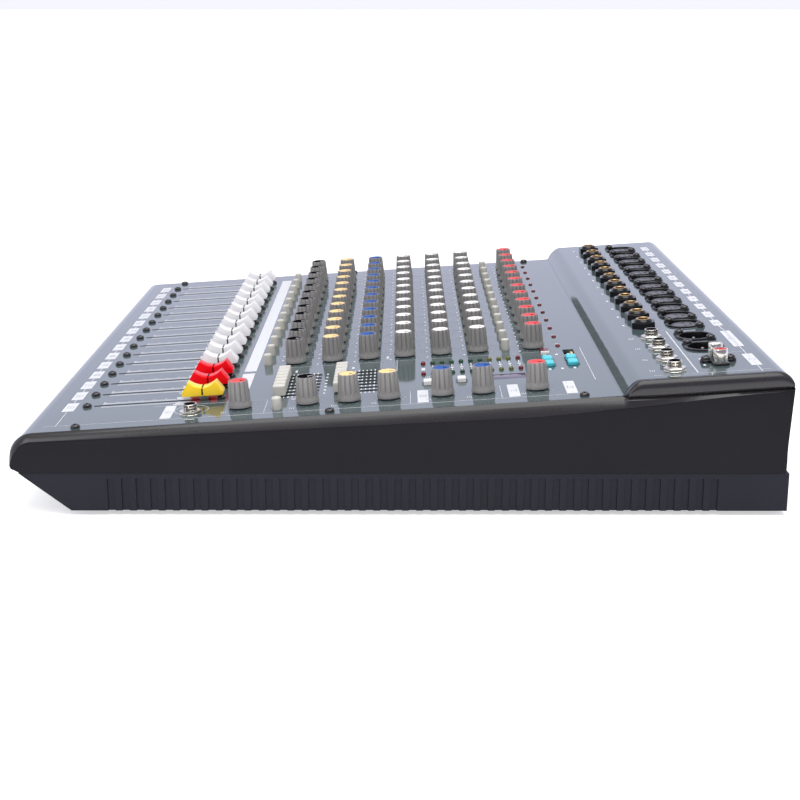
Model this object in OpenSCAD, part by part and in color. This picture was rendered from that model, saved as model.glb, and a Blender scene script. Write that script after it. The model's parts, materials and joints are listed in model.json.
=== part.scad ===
// Twelve channel mixing console: a tray, two side cheeks and a bent top panel that carries the controls.
// Frame: origin under the middle of the console at foot level, +X to the operator's right, +Y to the
// rear, +Z up. "Row" is the level distance behind the line of the front fader screws.

/* [Case] */
// Overall width, over the side cheeks
case_w = 455; // [450:1:470]
// Overall depth, front roll to rear lip
case_d = 440; // [436:1:446]
// Height of the panel surface at the front fader screws
front_h = 48.6; // [46:0.2:52]
// Tilt of the control panel, in degrees
slope = 3.776; // [3:0.1:5]
// Step from the control panel up to the connector deck
deck_rise = 8.8; // [7.5:0.1:9.5]
// Level distance from the front roll to the front fader screws
fader_inset = 34.3; // [33:0.1:36]
// Height of the joint line between the tray and the cheeks
seam_z = 25.6; // [24:0.1:27]
// Thickness of each side cheek
cheek_t = 5.9; // [5:0.1:6]
// Thickness of the panel sheet
panel_t = 2; // [1.5:0.1:2]
// Thickness of the tray walls
wall = 3; // [2:0.5:3]
// Height of the rubber feet
foot_h = 3; // [2:0.5:4]

/* [Layout] */
// Spacing of the channel strips
pitch = 26; // [25:0.5:26]
// Distance of the main fader from the middle of the console
main_fader_x = 171.5; // [170:0.5:173]
// Number of channel strips
strips = 12; // [12:1:12]
// Distance of the master knob column from the middle of the console
master_x = 194.5; // [193:0.5:196]

/* [Controls] */
// Travel of the faders
fader_travel = 60; // [45:1:60]
// Travel of the equaliser sliders
eq_travel = 20; // [15:1:20]
// Diameter of the knob skirts
knob_d = 14; // [12:0.5:14]
// Height of the knobs above the panel
knob_h = 16.2; // [14:0.1:18]
// Diameter of the round push buttons in the strips
button_d = 5.2; // [5:0.1:5.9]
// Swing of the power rocker between off and on, in degrees
rocker_swing = 16; // [10:1:16]

/* [Hidden] */
$fn = 48;
half_w = case_w / 2;
half_d = case_d / 2;
fader_y = fader_inset - half_d;
seam_gap = 0.4;
side_gap = 0.2;
cut = 0.5;

// Rounded stretches of the side outline
nose_r = 14;
rear_r = 10;
ramp_r = 6.5;
ramp_a = 50;
ramp_row = 306.6;
nose_base_z = seam_z + 2.2;
return_y = fader_y - 28.9;
lip_z = 62;
rear_wall_top = 76;
edge_r = 5.6;

// Rows of the channel strips, measured from the front fader screws
mute_row = 101;
knob_rows = [119, 142.5, 166, 189, 212.5, 236, 271.5];
knob_names = ["level", "pan", "effect", "low", "mid", "high", "gain"];
knob_caps = ["dimgray", "khaki", "royalblue", "white", "white", "white", "tomato"];
pad_row = 253.5;
peak_row = 287;
jack_row = 341.4;
xlr_row = 367.5;
screw_span = 80;

// Master section
master_rows = [93.7, 132.7, 156.8, 179.7, 210.7, 234.1, 265.2];
master_names = ["phones", "effect", "aux_left", "aux_right", "monitor_left", "monitor_right", "player"];
master_caps = ["tomato", "dimgray", "khaki", "khaki", "royalblue", "royalblue", "tomato"];
standby_at = [202.5, 115.7];
square_at = [[168.5, 202.5], [166.5, 222.7]];
key_at = [[129, 277], [141, 277], [129, 291.5], [141, 291.5]];
eq_count = 7;
eq_x = 130;
eq_pitch = 7.5;
eq_rows = [115, 150.5];
meter_x = [145.5, 119.5];
meter_row = 206.2;
meter_step = 5.92;
meter_count = 10;
power_led_row = 200.3;
window_at = [162.4, 246.5];
window_size = [11.7, 29];
lens_at = [107, 277.3];
lens_size = [10, 5.5];
usb_at = [111, 292];
usb_size = [12.5, 6.2];
phones_at = [201.2, 65.8];
metal_jack_x = [125.5, 152.6, 180.4, 206.4];
male_x = [128.5, 156.5];
rca_at = [191.9, 368.7];
rca_half = 7;
ear = [9.3, 8];
panel_screw_rows = [2.5, 146.4, 289.7];
panel_screw_x = half_w - 11.5;

// Sizes of the controls
fader_slot_w = 2.4;
fader_slot_l = 71.6;
fader_top_row = 69.7;
fader_stem = [1.2, 5];
cap_w = 10.4;
cap_top_w = 7.8;
cap_foot = 3.3;
eq_slot_w = 1.6;
eq_stem = [1, 3];
eq_cap = [6, 7.3, 6];
eq_foot = 1;
shaft_r = 3;
shaft_hole_r = 3.5;
shaft_drop = 10;
knob_gap = 0.7;
button_h = 7;
button_drop = 4;
button_hole_d = button_d + 0.7;
standby_d = 5.8;
square_size = [6.5, 5];
key_size = [9, 6.4];
key_clear = 0.35;

// Sizes of the connectors
jack_bore_d = 6.5;
jack_depth = 18;
jack_top = 6;
jack_neck_d = 9;
xlr_body_d = 21.4;
xlr_depth = 13;
xlr_flange_t = 1.6;
rca_plate_t = 1.6;

// Boards and mains parts
board_t = 1.6;
board_drop = 12;
deck_board_drop = 23;
pot_w = 9.5;
rear_wall_y = half_d - 4;
inlet_at = [-150, 35];
switch_at = [-112, 35];

fader_nodes = concat(
    [for (n = [1:strips]) str("fader_", n)],
    ["fader_group_1", "fader_group_2", "fader_main"]
);
knob_nodes = [for (k = knob_names) str("knob_12_", k)];
master_nodes = [for (k = master_names) str("knob_master_", k)];
key_nodes = ["player_key_1", "player_key_2", "player_key_3", "player_key_4"];

function strip_x(n) = main_fader_x - pitch * (strips + 3 - n);
function fader_x(i) = i < strips ? strip_x(i + 1) : main_fader_x - pitch * (strips + 2 - i);
function eq_slider_x(i) = eq_x + eq_pitch * i;
function plane_z(y, rise) = front_h + tan(slope) * (y - fader_y) + rise;
function arc(c, r, from, to, steps) =
    [for (i = [0:steps]) let (a = from + (to - from) * i / steps) c + r * [cos(a), sin(a)]];
function reverse(list) = [for (i = [len(list) - 1:-1:0]) list[i]];

// Side outline of the top, set inwards by d, as [y, z] points from the front lip to the rear lip
nose_c = [nose_r - half_d, plane_z(nose_r - half_d, 0) - nose_r / cos(slope)];
ramp_y = fader_y + ramp_row;
ramp_c = [ramp_y - ramp_r * sin(slope), plane_z(ramp_y, 0) + ramp_r * cos(slope)];
rise_n = deck_rise * cos(slope);
ramp_run = 2 * ramp_r * sin(ramp_a) + (rise_n - 2 * ramp_r * (1 - cos(ramp_a))) / tan(ramp_a);
deck_y = ramp_y + ramp_run * cos(slope) - rise_n * sin(slope);
deck_c = [deck_y + ramp_r * sin(slope), plane_z(deck_y, deck_rise) - ramp_r * cos(slope)];
rear_c = [half_d - rear_r, plane_z(half_d - rear_r, deck_rise) - rear_r / cos(slope)];
function outline(d, front_z, rear_z) = concat(
    [[d - half_d, front_z]],
    arc(nose_c, nose_r - d, 180, 90 + slope, 8),
    arc(ramp_c, ramp_r + d, slope - 90, slope - 90 + ramp_a, 5),
    arc(deck_c, ramp_r - d, 90 + slope + ramp_a, 90 + slope, 5),
    arc(rear_c, rear_r - d, 90 + slope, 0, 8),
    [[half_d - d, rear_z]]
);

// Places children on the control panel, or on the connector deck, with +Z along the surface normal
module on_panel(x, row) {
    translate([x, fader_y + row, plane_z(fader_y + row, 0)]) rotate([slope, 0, 0]) children();
}
module on_deck(x, row) {
    translate([x, fader_y + row, plane_z(fader_y + row, deck_rise)]) rotate([slope, 0, 0]) children();
}
// A block centred in X and Y, from z0 to z1
module block(size, z0, z1) {
    translate([-size[0] / 2, -size[1] / 2, z0]) cube([size[0], size[1], z1 - z0]);
}
module post(d, z0, z1) {
    translate([0, 0, z0]) cylinder(d = d, h = z1 - z0);
}
// Extrudes a [y, z] outline across the console, from x0 to x1
module across(points, x0, x1) {
    translate([x0, 0, 0]) rotate([90, 0, 90]) linear_extrude(x1 - x0) polygon(points);
}

module base_tray() {
    out_w = half_w - 0.8;
    chamfer_y = fader_y;
    rear_y = half_d - 0.8;
    top_z = seam_z - seam_gap;
    rib_rows = 43;
    rib_step = 8.1;
    color("#30303a") {
        difference() {
            union() {
                across([[return_y, top_z], [chamfer_y, foot_h], [rear_y, foot_h], [rear_y, top_z]],
                       -out_w, out_w);
                translate([side_gap * 2 - half_w + cheek_t, rear_wall_y - wall, top_z - 1])
                    cube([2 * (half_w - cheek_t - 2 * side_gap), wall, rear_wall_top - top_z + 1]);
            }
            across([[return_y + 2 * wall, top_z + cut], [chamfer_y + wall, foot_h + wall],
                    [rear_wall_y - wall, foot_h + wall], [rear_wall_y - wall, top_z + cut]],
                   wall - out_w, out_w - wall);
            translate([7 - out_w, rear_wall_y, foot_h + wall]) cube([2 * out_w - 14, 10, 40]);
            for (i = [0:rib_rows - 1], side = [-1, 1])
                translate([side * out_w, fader_y + 23 + rib_step * i, foot_h - 1])
                    block([2, 4.2], 0, 20);
            for (x = [-30, 30], y = [-120, -60, 0, 60])
                translate([x, y, 0]) block([44, 5], foot_h - 1, foot_h + wall + 1);
            translate([inlet_at[0], rear_wall_y, inlet_at[1]])
                rotate([90, 0, 0]) block([28, 20.6], -1, wall + 1);
            translate([switch_at[0], rear_wall_y, switch_at[1]])
                rotate([90, 0, 0]) block([16.6, 24.6], -1, wall + 1);
        }
        for (x = [-190, -90], y = [125, 180])
            translate([x, y, 0]) difference() {
                post(6, foot_h + wall - 0.5, 12);
                post(2.6, foot_h + wall + 1, 13);
            }
    }
}

module feet() {
    color("#202022")
        for (x = [-195, 195], y = [-165, 190])
            translate([x, y, 0]) difference() {
                cylinder(d = 16, h = foot_h);
                translate([0, 0, -1]) cylinder(d = 7, h = foot_h);
            }
}

// The cheek's outer upper edge is rounded, so its outline shrinks in rings towards the outer face
module cheek() {
    steps = 6;
    rings = concat(
        [[half_w - cheek_t, 0]],
        [for (i = [0:steps]) let (a = 90 * i / steps)
            [half_w - edge_r * (1 - sin(a)), edge_r * (1 - cos(a))]]
    );
    function ring(d) = concat([[return_y + d * 0.5, seam_z]], outline(d, nose_base_z, seam_z));
    count = len(ring(0));
    points = [for (r = rings) for (p = ring(r[1])) [r[0], p[0], p[1]]];
    last = (len(rings) - 1) * count;
    faces = concat(
        [[for (i = [count - 1:-1:0]) i]],
        [for (k = [0:len(rings) - 2], i = [0:count - 1]) let (j = (i + 1) % count)
            [k * count + i, k * count + j, (k + 1) * count + i]],
        [for (k = [0:len(rings) - 2], i = [0:count - 1]) let (j = (i + 1) % count)
            [k * count + j, (k + 1) * count + j, (k + 1) * count + i]],
        [[for (i = [0:count - 1]) last + i]]
    );
    polyhedron(points = points, faces = faces);
    for (row = panel_screw_rows)
        on_panel(panel_screw_x, row) difference() {
            block([13.6, 9], -12, -panel_t - 0.2);
            post(3.1, -13, 0);
        }
}
module right_cheek() {
    color("#1e1e24") cheek();
}
module left_cheek() {
    color("#1e1e24") mirror([1, 0, 0]) cheek();
}

module top_panel() {
    sheet_w = half_w - cheek_t - side_gap;
    through = 5;
    color("#8f98ad") difference() {
        across(concat([[return_y, seam_z]], outline(0, nose_base_z, lip_z),
                      reverse(outline(panel_t, nose_base_z + 1.4, lip_z)), [[return_y, seam_z + 2.3]]),
               -sheet_w, sheet_w);
        for (n = [1:strips], row = knob_rows)
            on_panel(strip_x(n), row) post(2 * shaft_hole_r, -through, through);
        for (n = [1:strips], row = [mute_row, pad_row])
            on_panel(strip_x(n), row) post(button_hole_d, -through, through);
        for (row = master_rows)
            on_panel(master_x, row) post(2 * shaft_hole_r, -through, through);
        on_panel(standby_at[0], standby_at[1]) post(standby_d + 0.7, -through, through);
        for (i = [0:strips + 2])
            on_panel(fader_x(i), screw_span / 2) block([fader_slot_w, fader_slot_l], -through, through);
        for (i = [0:eq_count - 1], row = eq_rows)
            on_panel(eq_slider_x(i), row + eq_travel / 2)
                block([eq_slot_w, eq_travel + 5], -through, through);
        for (p = square_at)
            on_panel(p[0], p[1]) block(square_size + 2 * key_clear * [1, 1], -through, through);
        for (p = key_at)
            on_panel(p[0], p[1]) block(key_size + 2 * key_clear * [1, 1], -through, through);
        on_panel(window_at[0], window_at[1]) block(window_size + [0.2, 0.2], -through, through);
        on_panel(lens_at[0], lens_at[1]) block(lens_size + [0.2, 0.2], -through, through);
        on_panel(usb_at[0], usb_at[1]) block(usb_size + [0.6, 0.6], -through, through);
        on_panel(phones_at[0], phones_at[1]) post(jack_neck_d + 0.4, -through, through);
        for (n = [1:strips])
            on_deck(strip_x(n), jack_row) post(jack_neck_d + 0.4, -through, through);
        for (x = metal_jack_x)
            on_deck(x, jack_row) post(jack_neck_d + 0.4, -through, through);
        for (n = [1:strips])
            on_deck(strip_x(n), xlr_row) post(xlr_body_d + 0.4, -through, through);
        for (x = male_x)
            on_deck(x, xlr_row) post(xlr_body_d + 0.4, -through, through);
        on_deck(rca_at[0], rca_at[1]) block([22, 7], -through, through);
        led_places() post(3.2, -through, through);
        screw_places() post(3.2, -through, through);
    }
}

// Every place where a machine screw sits, with its head on the surface it clamps
module screw_places() {
    for (i = [0:strips + 2], row = [0, screw_span])
        on_panel(fader_x(i), row) children();
    for (side = [-1, 1], row = panel_screw_rows)
        on_panel(side * panel_screw_x, row) children();
    for (x = concat([for (n = [1:strips]) strip_x(n)], male_x), side = [-1, 1])
        on_deck(x + side * ear[0], xlr_row + side * ear[1]) translate([0, 0, xlr_flange_t]) children();
    for (side = [-1, 1])
        on_deck(rca_at[0], rca_at[1] + side * 7.1) translate([0, 0, rca_plate_t]) children();
}
module screws() {
    color("#1c1a1a") screw_places() difference() {
        union() {
            cylinder(d = 5.6, h = 1.2);
            translate([0, 0, 1.2]) cylinder(d1 = 5.6, d2 = 3.8, h = 0.8);
            post(3, -8, 0.2);
        }
        block([3.2, 0.8], 0.9, 3);
        block([0.8, 3.2], 0.9, 3);
    }
}

module led_places() {
    for (n = [1:strips])
        on_panel(strip_x(n), peak_row) children();
    for (x = meter_x, i = [0:meter_count - 1])
        on_panel(x, meter_row + meter_step * i) children();
    for (x = meter_x)
        on_panel(x, power_led_row) children();
}
module leds() {
    color("#3c5a32") led_places() {
        post(3, -5, 0.4);
        translate([0, 0, 0.4]) intersection() {
            sphere(d = 3);
            post(4, -0.1, 3);
        }
    }
}

// Oval flange of a chassis connector: a disc with two diagonal ears, each drilled for a screw
module xlr_flange() {
    difference() {
        union() {
            post(22.9, 0, xlr_flange_t);
            for (side = [-1, 1])
                translate([side * ear[0], side * ear[1], 0]) post(6.8, 0, xlr_flange_t);
        }
        for (side = [-1, 1])
            translate([side * ear[0], side * ear[1], 0]) post(3.2, -1, xlr_flange_t + 1);
    }
}
module xlr_female() {
    contact_r = 3.9;
    color("#26262b") for (n = [1:strips]) on_deck(strip_x(n), xlr_row) {
        difference() {
            union() {
                xlr_flange();
                post(xlr_body_d, -xlr_depth, 0.5);
            }
            post(20.2, 2 - xlr_depth, xlr_flange_t + 1);
        }
        difference() {
            post(15.6, 1.5 - xlr_depth, 0.9);
            for (a = [0, 90, 180])
                rotate([0, 0, a]) translate([contact_r, 0, 0]) post(2.8, -9, 2);
            translate([0, -7.8, 0]) block([2, 2], -6, 2);
        }
    }
}
module xlr_male() {
    pin_r = 3.9;
    color("#26262b") for (x = male_x) on_deck(x, xlr_row) {
        difference() {
            union() {
                xlr_flange();
                post(xlr_body_d, -xlr_depth, 0.5);
            }
            post(19, 2 - xlr_depth, xlr_flange_t + 1);
        }
        for (a = [180, 270, 360])
            rotate([0, 0, a]) translate([pin_r, 0, 0]) post(2.4, 1.5 - xlr_depth, -1);
    }
}

module jack(nut_d, nut_h, foot_d, top_d) {
    difference() {
        union() {
            cylinder(d = nut_d, h = nut_h, $fn = 6);
            translate([0, 0, nut_h - 0.5]) cylinder(d1 = foot_d, d2 = top_d, h = jack_top - nut_h + 0.5);
            post(jack_neck_d, -3, 0.5);
            block([14, 14], -22.8, -panel_t - 0.1);
        }
        post(jack_bore_d, -jack_depth, jack_top + 1);
    }
}
module line_jacks() {
    color("#1d1d20") for (n = [1:strips]) on_deck(strip_x(n), jack_row) jack(16.8, 4.1, 11.7, 9.2);
}
module metal_jacks() {
    color("#c9c6bd") {
        for (x = metal_jack_x) on_deck(x, jack_row) jack(13, 2.2, 8.4, 8.2);
        on_panel(phones_at[0], phones_at[1]) jack(13, 2.2, 8.4, 8.2);
    }
}

module rca_sockets() {
    tube_h = 9.3;
    color("#c9c6bd") on_deck(rca_at[0], rca_at[1]) difference() {
        union() {
            block([24, 9.6], 0, rca_plate_t);
            block([21.6, 6.6], -12, 0.5);
            for (side = [-1, 1])
                translate([0, side * 7.1, 0]) post(7, 0, rca_plate_t);
            for (side = [-1, 1])
                translate([side * rca_half, 0, 0]) post(8.3, rca_plate_t - 0.5, tube_h);
        }
        for (side = [-1, 1])
            translate([side * rca_half, 0, 0]) post(3.2, -9, tube_h + 1);
        for (side = [-1, 1])
            translate([0, side * 7.1, 0]) post(3.2, -1, rca_plate_t + 1);
    }
}

module usb_socket() {
    shell = 1;
    deep = 15;
    color("#b9b6ac") on_panel(usb_at[0], usb_at[1]) {
        difference() {
            block(usb_size + 2 * shell * [1, 1], -deep - panel_t, -panel_t - 0.1);
            block(usb_size, shell - deep - panel_t, 0);
        }
        translate([0, usb_size[1] / 2 - 0.5, 0]) block([10.8, 1.2], -deep - panel_t + 0.5, -panel_t - 1.5);
    }
}

module mains_inlet() {
    color("#17171a") {
        translate([inlet_at[0], rear_wall_y, inlet_at[1]]) rotate([-90, 0, 0]) difference() {
            union() {
                block([34, 26], 0.1, 2.2);
                block([27.4, 20], -22, 0.5);
            }
            block([24.4, 16.4], -19, 4);
        }
        for (p = [[-7, -1.5], [0, 3], [7, -1.5]])
            translate([inlet_at[0] + p[0], rear_wall_y - 20, inlet_at[1] + p[1]])
                rotate([-90, 0, 0]) block([2, 4], 0, 15);
        translate([switch_at[0], rear_wall_y, switch_at[1]]) rotate([-90, 0, 0]) difference() {
            union() {
                block([19, 27], 0.1, 1.7);
                block([16, 24], -14, 0.5);
            }
            block([13.4, 22], -11, 4);
        }
    }
}
module power_rocker() {
    pivot_y = rear_wall_y - 2;
    color("#0f0f12") translate([switch_at[0], pivot_y, switch_at[1]]) rotate([-rocker_swing / 2, 0, 0]) {
        across([[-4, -5], [1, -9.6], [4.2, -9.6], [3, 0], [4.2, 9.6], [1, 9.6], [-4, 5]], -6.3, 6.3);
        rotate([0, 90, 0]) cylinder(d = 2.4, h = 13.1, center = true);
    }
}

module display_window() {
    color("#5a5577") {
        on_panel(window_at[0], window_at[1]) block(window_size, -panel_t - 1, -0.6);
        on_panel(lens_at[0], lens_at[1]) block(lens_size, -panel_t - 1, 1.6);
    }
}

module pot(hole_d) {
    difference() {
        block([pot_w, pot_w], -board_drop, -panel_t - 0.9);
        post(hole_d, 1 - board_drop, 0);
    }
}
// The control board, the connector board and the supply board, with the parts soldered on them
module circuit_boards() {
    bore = 2 * shaft_r + 0.7;
    color("#2f6b3c") {
        difference() {
            on_panel(0, 198) block([410, 204], -board_drop - board_t, -board_drop);
            on_panel(usb_at[0], usb_at[1]) block(usb_size + [4, 4], -board_drop - 5, 0);
        }
        for (n = [1:strips], row = knob_rows)
            on_panel(strip_x(n), row) pot(bore);
        for (row = master_rows)
            on_panel(master_x, row) pot(bore);
        for (n = [1:strips], row = [mute_row, pad_row])
            on_panel(strip_x(n), row) block([6, 6], -board_drop, -button_drop - 2.5);
        on_deck(0, 357) block([404, 60], -deck_board_drop - board_t, -deck_board_drop);
        translate([-140, 152.5, 0]) {
            block([112, 66], 12.1, 12.1 + board_t);
            translate([25, 5, 0]) block([44, 38], 13.5, 42);
            for (x = [-38, -18])
                translate([x, -12, 0]) post(16, 13.5, 38);
        }
    }
}

// Bodies of the fader and equaliser slide potentiometers, each slotted for its stem
module slide_pots() {
    color("#9a9a94") {
        for (i = [0:strips + 2])
            on_panel(fader_x(i), screw_span / 2) difference() {
                block([10, 88], -14, -panel_t - 0.1);
                block([fader_slot_w + 0.8, fader_slot_l + 1], -11, 0);
                for (side = [-1, 1])
                    translate([0, side * screw_span / 2, 0]) post(3.2, -13, 0);
            }
        for (i = [0:eq_count - 1], row = eq_rows)
            on_panel(eq_slider_x(i), row + eq_travel / 2) difference() {
                block([6.4, 30], -board_drop, -panel_t - 0.1);
                block([eq_slot_w + 0.6, eq_travel + 6], -9, 0);
            }
    }
}

// A knob on its shaft, in the panel's own frame
module knob() {
    skirt_r = knob_d / 2;
    rotate_extrude() polygon([
        [0, -shaft_drop], [shaft_r, -shaft_drop], [shaft_r, knob_gap], [skirt_r - 0.5, knob_gap],
        [skirt_r, knob_gap + 0.5], [skirt_r - 0.3, 4.6], [skirt_r - 1.2, knob_h - 0.8],
        [skirt_r - 1.5, knob_h], [skirt_r - 2.1, knob_h], [skirt_r - 2.3, knob_h - 0.5], [0, knob_h - 0.5]
    ]);
}
module round_button(d) {
    post(d, -button_drop, button_h - 0.5);
    translate([0, 0, button_h - 0.5]) cylinder(d1 = d, d2 = d - 1, h = 0.5);
}

// The controls of strips 1 to 11, which are too many for nodes of their own
module channel_knobs() {
    color("#969492") for (n = [1:strips - 1], row = knob_rows) on_panel(strip_x(n), row) knob();
}
module channel_buttons() {
    color("#c8c6be")
        for (n = [1:strips - 1], row = [mute_row, pad_row]) on_panel(strip_x(n), row) round_button(button_d);
}

module strip_knob(i) {
    color(knob_caps[i]) on_panel(strip_x(strips), knob_rows[i]) knob();
}
module master_knob(i) {
    color(master_caps[i]) on_panel(master_x, master_rows[i]) knob();
}
module button_12_mute() {
    color("#c8c6be") on_panel(strip_x(strips), mute_row) round_button(button_d);
}
module button_12_pad() {
    color("#c8c6be") on_panel(strip_x(strips), pad_row) round_button(button_d);
}
module button_standby() {
    color("#c8c6be") on_panel(standby_at[0], standby_at[1]) round_button(standby_d);
}
module button_square(i) {
    color("#f0f0f2") on_panel(square_at[i][0], square_at[i][1]) block(square_size, -button_drop, 2.6);
}
module player_key(i) {
    color("#64d7e1") on_panel(key_at[i][0], key_at[i][1]) block(key_size, -button_drop, 2.4);
}

// Seven equaliser sliders, at the front of their travel
module eq_sliders(row) {
    color("#c8c6be") for (i = [0:eq_count - 1]) on_panel(eq_slider_x(i), row) {
        block(eq_cap, eq_foot, eq_foot + eq_cap[2]);
        block(eq_stem, -6, eq_foot + 0.5);
    }
}

// A fader cap with a dished top and leaning sides, on its flat stem, at the rear end of its travel
module fader(i) {
    foot_half = 12.25;
    top_half = 8.3;
    top_h = 11.7;
    dish_h = 8.1;
    steps = 12;
    tint = i < strips ? "white" : i < strips + 2 ? "#f00014" : "#fad732";
    rise = top_h - dish_h;
    dish = [for (k = [0:steps]) let (t = 1 - 2 * k / steps) [top_half * t, dish_h + rise * t * t]];
    color(tint) on_panel(fader_x(i), fader_top_row) {
        intersection() {
            across(concat([[-foot_half, cap_foot], [foot_half, cap_foot], [foot_half - 0.2, cap_foot + 2.4]],
                          dish, [[0.2 - foot_half, cap_foot + 2.4]]), -cap_w / 2, cap_w / 2);
            rotate([90, 0, 0]) linear_extrude(height = 3 * foot_half, center = true) polygon([
                [-cap_w / 2, cap_foot], [cap_w / 2, cap_foot], [cap_top_w / 2, top_h], [-cap_top_w / 2, top_h]
            ]);
        }
        block(fader_stem, -9, cap_foot + 0.5);
    }
}

base_tray();
feet();
right_cheek();
left_cheek();
top_panel();
screws();
xlr_female();
xlr_male();
line_jacks();
metal_jacks();
rca_sockets();
usb_socket();
mains_inlet();
display_window();
leds();
circuit_boards();
slide_pots();
channel_knobs();
channel_buttons();
power_rocker();
button_standby();
button_square(0);  // button_square_1
button_square(1);  // button_square_2
eq_sliders(eq_rows[0]);  // eq_sliders_1
eq_sliders(eq_rows[1]);  // eq_sliders_2
button_12_mute();
button_12_pad();
for (i = [0:len(key_nodes) - 1])
    player_key(i);
for (i = [0:len(knob_nodes) - 1])
    strip_knob(i);
for (i = [0:len(master_nodes) - 1])
    master_knob(i);
for (i = [0:len(fader_nodes) - 1])
    fader(i);
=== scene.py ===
"""The looks of the mixing console: knobs, fader caps, sockets, printed legends and paint."""

import json
import math
import random

import bmesh
import bpy
from mathutils import Matrix, Vector


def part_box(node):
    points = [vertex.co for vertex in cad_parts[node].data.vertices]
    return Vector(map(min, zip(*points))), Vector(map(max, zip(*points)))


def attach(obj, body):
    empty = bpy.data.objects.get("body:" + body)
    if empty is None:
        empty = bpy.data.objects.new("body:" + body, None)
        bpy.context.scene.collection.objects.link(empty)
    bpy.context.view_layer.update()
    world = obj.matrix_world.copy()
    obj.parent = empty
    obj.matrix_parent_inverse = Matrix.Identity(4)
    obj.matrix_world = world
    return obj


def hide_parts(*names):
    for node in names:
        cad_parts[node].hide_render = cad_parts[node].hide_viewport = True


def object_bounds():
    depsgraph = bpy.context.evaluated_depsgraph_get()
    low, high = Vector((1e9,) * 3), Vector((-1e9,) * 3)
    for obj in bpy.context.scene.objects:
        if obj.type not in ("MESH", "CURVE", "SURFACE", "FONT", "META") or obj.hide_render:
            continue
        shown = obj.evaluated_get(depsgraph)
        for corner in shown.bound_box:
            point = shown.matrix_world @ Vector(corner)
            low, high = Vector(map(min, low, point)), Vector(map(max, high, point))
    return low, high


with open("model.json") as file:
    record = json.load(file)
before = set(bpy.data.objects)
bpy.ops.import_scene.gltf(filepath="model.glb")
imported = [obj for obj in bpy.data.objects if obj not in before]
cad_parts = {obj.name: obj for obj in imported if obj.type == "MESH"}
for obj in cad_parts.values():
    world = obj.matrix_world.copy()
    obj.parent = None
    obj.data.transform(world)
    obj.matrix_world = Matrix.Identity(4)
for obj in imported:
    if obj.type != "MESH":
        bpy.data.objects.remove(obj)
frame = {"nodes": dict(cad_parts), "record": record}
CAD_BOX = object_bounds()
RECORD = frame["record"]
JOINTS = {joint["name"]: joint for joint in RECORD["behaviour"]["joints"]}
MOUNTS = {mount["name"]: mount for mount in RECORD["mounts"]}
ROOT = "console"
MM = 0.001
random.seed(7)


# ---------------- the frame's own measures, in mm

def mm(vector):
    return Vector(vector) / MM


NORMAL = Vector(JOINTS["knob_12_level_turn"]["axis"])
TILT = Matrix.Rotation(math.atan2(-NORMAL.y, NORMAL.z), 4, "X")
CHANNEL_KNOBS = {"level": "cap_dark", "pan": "cap_cream", "effect": "cap_blue", "low": "cap_white",
                 "mid": "cap_white", "high": "cap_white", "gain": "cap_red"}
MASTER_KNOBS = {"phones": "cap_red", "effect": "cap_dark", "aux_left": "cap_cream",
                "aux_right": "cap_cream", "monitor_left": "cap_blue", "monitor_right": "cap_blue",
                "player": "cap_red"}
STRIPS = 12

LEVEL_ROW = 119
FRONT = mm(JOINTS["knob_12_level_turn"]["pos_m"])
ROW_ZERO = FRONT.y - LEVEL_ROW
SLOPE = -NORMAL.y / NORMAL.z


def middle(node):
    low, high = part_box(node)
    return mm((low + high) / 2)


PITCH = middle("fader_main").x - middle("fader_group_2").x
FADER_X = [middle(f"fader_{n}").x for n in range(1, STRIPS + 1)]
GROUP_X = [middle("fader_group_1").x, middle("fader_group_2").x]
MAIN_X = middle("fader_main").x
MASTER_X = mm(JOINTS["knob_master_phones_turn"]["pos_m"]).x
KNOB_ROWS = [mm(JOINTS[f"knob_12_{k}_turn"]["pos_m"]).y - ROW_ZERO for k in CHANNEL_KNOBS]
MASTER_ROWS = [mm(JOINTS[f"knob_master_{k}_turn"]["pos_m"]).y - ROW_ZERO for k in MASTER_KNOBS]
BORE_SINK = 6
JACK_POINT = mm(MOUNTS["line_in_12"]["pos_m"]) + BORE_SINK * NORMAL
DECK_RISE = JACK_POINT.z - (FRONT.z + SLOPE * (JACK_POINT.y - FRONT.y))
JACK_ROW = JACK_POINT.y - ROW_ZERO
XLR_ROW = JACK_ROW + 26.1
PHONES_POINT = mm(MOUNTS["phones_out"]["pos_m"]) + BORE_SINK * NORMAL
MUTE_ROW = 101
PAD_ROW = 253.5
PEAK_ROW = 287
FADER_ROW = 69.7
SCREW_SPAN = 80


def panel(x, row, up=0.0):
    """A place on the control panel: x across, row behind the front fader screws, and height above."""
    y = ROW_ZERO + row
    z = FRONT.z + SLOPE * (y - FRONT.y)
    return Matrix.Translation(Vector((x, y, z)) + NORMAL * up) @ TILT


def deck(x, row, up=0.0):
    """A place on the connector deck."""
    return Matrix.Translation((0, 0, DECK_RISE)) @ panel(x, row, up)


# ---------------- materials

MATERIALS = {}


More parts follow.
